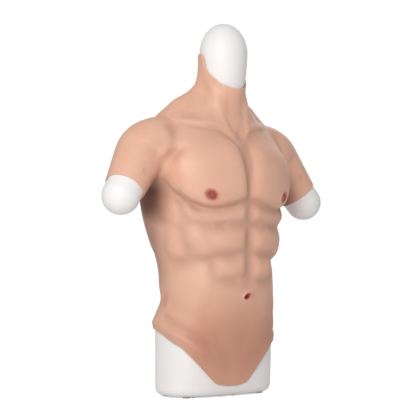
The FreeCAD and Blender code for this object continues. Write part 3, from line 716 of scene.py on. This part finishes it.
def thinned(points, faces, rim):
    """The hidden inner side with fewer faces, its rim unchanged."""
    obj = new_mesh("inner_side", points, faces)
    group = obj.vertex_groups.new(name="free")
    fixed = set(np.unique(rim).tolist())
    group.add([i for i in range(len(points)) if i not in fixed], 1.0, "REPLACE")
    modifier = obj.modifiers.new("thin", "DECIMATE")
    modifier.ratio = INNER_SHARE
    modifier.vertex_group = "free"
    modifier.vertex_group_factor = 1000.0
    bpy.context.view_layer.update()
    mesh = obj.evaluated_get(bpy.context.evaluated_depsgraph_get()).to_mesh()
    co = np.array([v.co for v in mesh.vertices]) / MM
    polys = [list(p.vertices) for p in mesh.polygons]
    bpy.data.objects.remove(obj)
    return co, polys


RIM_TURNS = 5                         # steps round the rounded edge of the skin
HOLLOW_STEPS = 80  # how wide the surroundings are that a groove is measured from
HOLLOW_BLUR = 10    # softens the edges of that shade
HOLLOW_DEPTH = 3.5                    # a groove this deep gets the full shade
FOLD = np.array([192.0, -50.0, 512.0])   # top of the fold between arm and chest, where the relief is blurred
FOLD_BLUR = 90


def skin_mesh():
    """The silicone skin as one closed shell with rounded edges."""
    points, faces = surface_net(CELL)
    points, faces = trimmed(points, faces, CELL)
    points, normals, rim = relax(points, faces, STEPS)
    chart = Chart()
    front_muscles(chart)
    back_muscles(chart)

    coarse = points + normals * relief(points, chart)[:, None]
    inner_points = points - normals * skin_cover(points)[:, None]
    ids = np.unique(rim)
    inner_points[ids] = coarse[ids] - normals[ids] * SKIN_THICKNESS
    inner_co, inner_polys = thinned(inner_points, faces[:, ::-1], rim)

    fine, polys = refine(points, faces)
    fine, slope = drop(fine, body_field)
    fine[:len(points)] = points
    fine_normals = slope / np.linalg.norm(slope, axis=1)[:, None]
    fine_normals[:len(points)] = normals
    pairs = neighbours(polys)
    height = relief(fine, chart)
    near_fold = 1 - smooth(24, 54, np.linalg.norm(right_side(fine) - FOLD, axis=1))
    height = averaged(height, pairs, FOLD_BLUR, near_fold)
    outer = fine + fine_normals * height[:, None]

    # the rounded edge: half turns from the outer rim to the inner rim
    place = np.full(len(points), -1)
    place[ids] = np.arange(len(ids))
    away = -gradient(trim_field, points[ids])
    n = normals[ids]
    away -= n * (away * n).sum(1)[:, None]
    away /= np.linalg.norm(away, axis=1)[:, None]
    centre = coarse[ids] - n * SKIN_THICKNESS / 2
    co = [outer]
    all_polys = [list(p) for p in polys]
    rows = [ids]
    offset = len(outer)
    for turn in range(1, RIM_TURNS):
        angle = math.pi * turn / RIM_TURNS
        ring = centre + (n * math.cos(angle) + away * 0.8 * math.sin(angle)) * SKIN_THICKNESS / 2
        co.append(ring)
        rows.append(np.arange(len(ids)) + offset)
        offset += len(ids)
    last = np.arange(len(ids)) + offset
    co.append(centre - n * SKIN_THICKNESS / 2)
    offset += len(ids)
    rows.append(last)
    for a, b in zip(rows, rows[1:]):
        for i, j in rim:
            all_polys.append([a[place[j]], a[place[i]], b[place[i]], b[place[j]]])
    co.append(inner_co)
    all_polys += [[i + offset for i in p] for p in inner_polys]
    obj = new_mesh("muscle_skin_surface", np.concatenate(co), all_polys)
    # painted shade in the grooves, on the outer side
    painted_groove_shade = np.zeros(len(obj.data.vertices))
    painted_groove_shade[:len(outer)] = hollow_shade(height, pairs)
    tint(obj, painted_groove_shade)
    weld(obj, len(outer) + (RIM_TURNS - 1) * len(ids))
    return obj


def neighbours(polys):
    """Pairs of points that share an edge."""
    pairs = {tuple(sorted((p[k - 1], p[k]))) for p in polys for k in range(len(p))}
    return np.array(list(pairs)).T


def averaged(values, pairs, steps, share=1.0):
    """Values blurred over the mesh, where share is 1."""
    a, b = pairs
    count = np.maximum(np.bincount(a, minlength=len(values)) + np.bincount(b, minlength=len(values)), 1)
    for _ in range(steps):
        sums = np.bincount(a, values[b], len(values)) + np.bincount(b, values[a], len(values))
        values = values + (sums / count - values) * share
    return values


def hollow_shade(height, pairs):
    """Painted shade in the grooves: how far each point lies below its surroundings."""
    depth = averaged(height, pairs, HOLLOW_STEPS) - height
    return averaged(np.clip(depth / HOLLOW_DEPTH, 0, 1), pairs, HOLLOW_BLUR)


def weld(obj, first):
    """Joins the inner side to the rounded edge."""
    bm = bmesh.new()
    bm.from_mesh(obj.data)
    bm.verts.ensure_lookup_table()
    bmesh.ops.remove_doubles(bm, verts=bm.verts[first:], dist=0.02 * MM)
    bmesh.ops.recalc_face_normals(bm, faces=bm.faces)
    for face in bm.faces:
        face.smooth = True
    bm.to_mesh(obj.data)
    bm.free()


def tint(obj, painted_groove_shade):
    """Stores the skin's colouring on its points: painted details, their dark cores, a darker and redder
    painted shade on the lower belly, and painted shade under the arms, on the sides, in the grooves and under
    the chest.
    """
    mesh = obj.data
    co = np.empty(len(mesh.vertices) * 3)
    mesh.vertices.foreach_get("co", co)
    p = co.reshape(-1, 3) / MM
    r, n = areola_radius(p), navel_radius(p)
    dark = np.maximum(1 - smooth(0.65, 1.15, r), 0.9 * (1 - smooth(0.6, 1.3, n)))
    # dark middles: the nipples' own colour; in the navel's hollow partly own colour and partly painted shade
    core = np.maximum(0.8 * (1 - smooth(0.3, 0.8, r)), 1 - smooth(0.3, 1.1, n))
    side = bearing(p)
    # painted shade, darker and redder, on the lower belly towards the hem, weaker towards the sides
    belly_shade = (1 - smooth(130, 280, p[:, 2])) * (0.6 + 0.4 * smooth(30, 110, p[:, 2]))
    belly_shade *= 1 - 0.75 * smooth(50, 78, side)
    colours = np.stack([dark, core, belly_shade, np.ones(len(p))], 1)
    layer = mesh.color_attributes.new("tint", "FLOAT_COLOR", "POINT")
    layer.data.foreach_set("color", colours.astype(np.float32).ravel())
    # painted shade under the arms, on the sides of the trunk, in the grooves and under the outer end of the
    # chest
    armpit = np.linalg.norm((right_side(p) - ARMPIT) / ARMPIT_REACH, axis=1)
    flank = smooth(80, 112, side) * (1 - smooth(120, 165, side))
    flank *= (1 - smooth(440, 560, p[:, 2])) * smooth(200, 320, p[:, 2])
    below = np.interp(side, *CHEST_EDGE) - p[:, 2]
    under_chest_shade = smooth(-3, 4, below) * (1 - smooth(5, 34, below))
    on_chest = smooth(42, 60, side) * (1 - smooth(78, 90, side))
    under_chest_shade *= on_chest * (1 - smooth(8, 26, trunk_field(p)))
    armpit_shade = 1 - smooth(0.3, 1.15, armpit)
    parts = [armpit_shade, FLANK_SHADE * flank, GROOVE_SHADE * painted_groove_shade, CHEST_SHADE * under_chest_shade]
    shade = np.maximum.reduce(parts)
    layer = mesh.attributes.new("shade", "FLOAT", "POINT")
    layer.data.foreach_set("value", shade.astype(np.float32))


# ---------------------------------------------------------------- materials

class Finish:
    """A node material built round one Principled shader."""

    def __init__(self, name):
        self.material = bpy.data.materials.new(name)
        self.material.use_nodes = True
        self.tree = self.material.node_tree
        self.shader = self.tree.nodes["Principled BSDF"]
        self.place = self.tree.nodes.new("ShaderNodeTexCoord").outputs["Object"]

    def put(self, socket, value):
        """Connects a socket or sets a number or colour."""
        if isinstance(value, bpy.types.NodeSocket):
            self.tree.links.new(value, socket)
        elif isinstance(value, (tuple, list)) and len(value) == 3:
            socket.default_value = (*value, 1.0)
        else:
            socket.default_value = value

    def set(self, **values):
        """Sets the shader's inputs by name, with _ for a space."""
        for name, value in values.items():
            self.put(self.shader.inputs[name.replace("_", " ")], value)

    def noise(self, scale, detail=4.0, stretch=(1, 1, 1)):
        """Cloudy pattern from 0 to 1, scale in features per metre."""
        mapping = self.tree.nodes.new("ShaderNodeMapping")
        mapping.inputs["Scale"].default_value = stretch
        self.tree.links.new(self.place, mapping.inputs["Vector"])
        node = self.tree.nodes.new("ShaderNodeTexNoise")
        node.inputs["Scale"].default_value = scale
        node.inputs["Detail"].default_value = detail
        self.tree.links.new(mapping.outputs["Vector"], node.inputs["Vector"])
        return node.outputs["Fac"]

    def cells(self, scale):
        """Distance to scattered points, for pores and dimples."""
        node = self.tree.nodes.new("ShaderNodeTexVoronoi")
        node.inputs["Scale"].default_value = scale
        self.tree.links.new(self.place, node.inputs["Vector"])
        return node.outputs["Distance"]

    def spread(self, value, low, high, to_low=0.0, to_high=1.0):
        """Stretches a pattern's range."""
        node = self.tree.nodes.new("ShaderNodeMapRange")
        node.inputs["From Min"].default_value = low
        node.inputs["From Max"].default_value = high
        node.inputs["To Min"].default_value = to_low
        node.inputs["To Max"].default_value = to_high
        self.tree.links.new(value, node.inputs["Value"])
        return node.outputs["Result"]

    def value(self, name):
        """A number stored on the mesh's points."""
        node = self.tree.nodes.new("ShaderNodeAttribute")
        node.attribute_name = name
        return node.outputs["Fac"]

    def mix(self, amount, first, second):
        """Mixes two colours."""
        node = self.tree.nodes.new("ShaderNodeMix")
        node.data_type = "RGBA"
        self.put(node.inputs["Factor"], amount)
        self.put(node.inputs[6], first)
        self.put(node.inputs[7], second)
        return node.outputs[2]

    def bump(self, *layers):
        """Stacks bumps of (pattern, strength, height in metres)."""
        normal = None
        for pattern, strength, height in layers:
            node = self.tree.nodes.new("ShaderNodeBump")
            node.inputs["Strength"].default_value = strength
            node.inputs["Distance"].default_value = height
            self.tree.links.new(pattern, node.inputs["Height"])
            if normal is not None:
                self.tree.links.new(normal, node.inputs["Normal"])
            normal = node.outputs["Normal"]
        self.put(self.shader.inputs["Normal"], normal)


SKIN_COLOURS = (0.80, 0.465, 0.330), (0.76, 0.425, 0.295)  # cloudy mix of the silicone's own colour
FLECK = (0.83, 0.485, 0.36)
BELLY_SHADE_COLOUR = (0.55, 0.235, 0.145)           # painted shade, darker and redder, on the lower belly towards the hem
SHADE = (0.15, 0.042, 0.024)          # painted shade under the arms, on the sides, in the grooves and under the chest
PAINT = (0.34, 0.045, 0.035), (0.60, 0.17, 0.125)  # nipples and navel
CORE = (0.27, 0.045, 0.03)            # their dark middles: the nipples' own colour, in the navel's hollow partly own colour and partly painted shade
WHITES = (0.90, 0.882, 0.866), (0.87, 0.852, 0.836)  # cloudy mix of the display form


def silicone():
    """Flesh-coloured silicone: soft, slightly translucent, with mottling, pores, painted details and painted
    shade.
    """
    f = Finish("silicone")
    layer = f.tree.nodes.new("ShaderNodeAttribute")
    layer.attribute_name = "tint"
    channels = f.tree.nodes.new("ShaderNodeSeparateColor")
    f.tree.links.new(layer.outputs["Color"], channels.inputs["Color"])
    dark, core, belly_shade = (channels.outputs[k] for k in ("Red", "Green", "Blue"))
    mottle = f.spread(f.noise(16, 5), 0.35, 0.68)
    fine = f.spread(f.noise(130, 3), 0.3, 0.7)
    skin = f.mix(mottle, *SKIN_COLOURS)
    skin = f.mix(f.spread(fine, 0, 1, 0, 0.25), skin, FLECK)
    # painted shade, darker and redder, on the lower belly
    skin = f.mix(f.spread(belly_shade, 0, 1, 0, 0.7), skin, BELLY_SHADE_COLOUR)
    # painted shade under the arms, on the sides, in the grooves and under the chest
    skin = f.mix(f.spread(f.value("shade"), 0, 1, 0, 0.95), skin, SHADE)
    painted = f.mix(f.spread(f.noise(420, 3), 0.35, 0.65), *PAINT)
    skin = f.mix(f.spread(dark, 0, 1, 0, 0.95), skin, painted)
    skin = f.mix(f.spread(core, 0, 1, 0, 0.75), skin, CORE)
    f.set(Base_Color=skin, Roughness=f.spread(f.noise(60, 3), 0.3, 0.7, 0.42, 0.54), Specular_IOR_Level=0.45)
    f.set(Subsurface_Weight=0.12, Subsurface_Scale=0.003)
    f.shader.inputs["Subsurface Radius"].default_value = (1.0, 0.36, 0.2)
    f.bump((f.cells(900), 0.12, 0.0004), (f.noise(220, 4), 0.12, 0.0006), (f.noise(40, 3), 0.10, 0.0012))
    return f.material


def white_form():
    """Matte white moulded shell with a faint orange-peel and handling marks."""
    f = Finish("white_form")
    shade = f.spread(f.noise(9, 4), 0.3, 0.7)
    f.set(Base_Color=f.mix(shade, *WHITES))
    f.set(Roughness=f.spread(f.noise(35, 4), 0.3, 0.7, 0.42, 0.56), Specular_IOR_Level=0.4)
    f.bump((f.noise(420, 2), 0.05, 0.0004), (f.noise(25, 3), 0.06, 0.001))
    return f.material


def plywood():
    """Birch plywood with stretched grain."""
    f = Finish("plywood")
    grain = f.spread(f.noise(40, 6, (0.12, 1, 6)), 0.3, 0.7)
    f.set(Base_Color=f.mix(grain, (0.62, 0.43, 0.24), (0.45, 0.28, 0.14)), Roughness=0.62)
    f.bump((grain, 0.2, 0.0005))
    return f.material


def metal(name, colour, roughness, scale=500):
    """Plated or turned metal with fine marks."""
    f = Finish(name)
    marks = f.spread(f.noise(scale, 3, (1, 1, 0.2)), 0.3, 0.7)
    f.set(Base_Color=f.mix(marks, colour, tuple(0.8 * c for c in colour)), Metallic=1.0)
    f.set(Roughness=f.spread(marks, 0, 1, roughness, roughness + 0.12))
    f.bump((marks, 0.1, 0.0002))
    return f.material


def moulded(name, colour, roughness, grain=600):
    """Moulded plastic, powder coat or rubber with a fine grain."""
    f = Finish(name)
    shade = f.spread(f.noise(30, 4), 0.3, 0.7)
    f.set(Base_Color=f.mix(shade, colour, tuple(1.25 * c for c in colour)))
    f.set(Roughness=f.spread(f.noise(90, 3), 0.3, 0.7, roughness, roughness + 0.1))
    f.bump((f.noise(grain, 2), 0.25, 0.0004))
    return f.material


def finishes():
    """One material for each slot of the record."""
    return {
        "silicone": silicone(),
        "white_form": white_form(),
        "plywood": plywood(),
        "grey_nylon": moulded("grey_nylon", (0.10, 0.105, 0.115), 0.45),
        "zinc_steel": metal("zinc_steel", (0.62, 0.64, 0.67), 0.28),
        "painted_steel": moulded("painted_steel", (0.018, 0.018, 0.02), 0.4, 900),
        "brass": metal("brass", (0.72, 0.50, 0.20), 0.25),
        "pale_rubber": moulded("pale_rubber", (0.50, 0.49, 0.48), 0.6),
    }


def dress(materials):
    """Gives every CAD node the finish of its slot."""
    for row in frame["record"]["subparts"]:
        mesh = frame["nodes"][row["node"]].data
        mesh.materials.clear()
        mesh.materials.append(materials[row["material_slot"]])


# ---------------------------------------------------------------- room

EYE_HEIGHT = 317.0
EYE_DISTANCE = 3360.0
EYE_TURN = 40.0                       # the camera stands to the figure's right of the front, in degrees
EYE_SIDE = -7.2                       # sideways from the line through the figure's middle
LENS = 120.0
SHIFT = 0.124                         # raises the picture without tilting the camera

AMBIENT = 0.46                        # strength of the light from all round
FLOOR_GLOW = 0.62                     # lifts the pale floor towards the white of a studio sweep
# Lamps: name, bearing from the figure's front towards its right, height, distance, size, power.
LAMPS = [("key", 53, 1.5, 2.5, 1.2, 36), ("rear", -122, 1.6, 2.6, 1.8, 10)]
LAMP_AIM = (0, 0, 0.45)               # the lamps' places and aim are in metres


def camera():
    """The photographer's view: from the figure's front right, level, at belly height."""
    turn = math.radians(EYE_TURN)
    back = Vector((-math.sin(turn), -math.cos(turn), 0))
    right = Vector((math.cos(turn), -math.sin(turn), 0))
    data = bpy.data.cameras.new("camera")
    data.lens = LENS
    data.shift_y = SHIFT
    obj = bpy.data.objects.new("camera", data)
    obj.location = (back * EYE_DISTANCE + right * EYE_SIDE + Vector((0, 0, EYE_HEIGHT))) * MM
    obj.rotation_euler = (-back).to_track_quat("-Z", "Y").to_euler()
    bpy.context.scene.collection.objects.link(obj)
    bpy.context.scene.camera = obj


def lamp(name, azimuth, height, distance, size, power):
    """A large soft area light, placed by its bearing from the figure's front."""
    a = math.radians(azimuth)
    data = bpy.data.lights.new(name, "AREA")
    data.shape = "DISK"
    data.size = size
    data.energy = power
    obj = bpy.data.objects.new(name, data)
    obj.location = (-math.sin(a) * distance, -math.cos(a) * distance, height)
    obj.rotation_euler = (Vector(LAMP_AIM) - obj.location).to_track_quat("-Z", "Y").to_euler()
    bpy.context.scene.collection.objects.link(obj)


def room():
    """Pale floor and soft studio light."""
    bpy.ops.mesh.primitive_plane_add(size=30)
    floor = bpy.context.object
    floor.name = "floor"
    f = Finish("floor")
    f.set(Base_Color=f.mix(f.noise(3, 2), (0.95, 0.95, 0.95), (0.93, 0.93, 0.93)), Roughness=0.9)
    seen = f.tree.nodes.new("ShaderNodeLightPath")
    glow = f.spread(seen.outputs["Is Camera Ray"], 0, 1, 0, FLOOR_GLOW)
    f.set(Emission_Color=(1, 1, 1), Emission_Strength=glow)
    floor.data.materials.append(f.material)
    world = bpy.data.worlds.new("studio")
    world.use_nodes = True
    tree = world.node_tree
    light = tree.nodes["Background"]
    light.inputs["Color"].default_value = (1, 1, 1, 1)
    light.inputs["Strength"].default_value = AMBIENT
    backdrop = tree.nodes.new("ShaderNodeBackground")
    backdrop.inputs["Color"].default_value = (1, 1, 1, 1)
    ray = tree.nodes.new("ShaderNodeLightPath")
    mix = tree.nodes.new("ShaderNodeMixShader")
    tree.links.new(ray.outputs["Is Camera Ray"], mix.inputs[0])
    tree.links.new(light.outputs[0], mix.inputs[1])
    tree.links.new(backdrop.outputs[0], mix.inputs[2])
    tree.links.new(mix.outputs[0], tree.nodes["World Output"].inputs["Surface"])
    bpy.context.scene.world = world
    bpy.context.scene.view_settings.view_transform = "Standard"
    for spec in LAMPS:
        lamp(*spec)


def main():
    materials = finishes()
    dress(materials)
    skin = skin_mesh()
    skin.data.materials.append(materials["silicone"])
    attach(skin, "torso")
    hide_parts("muscle_skin")
    room()
    camera()


main()
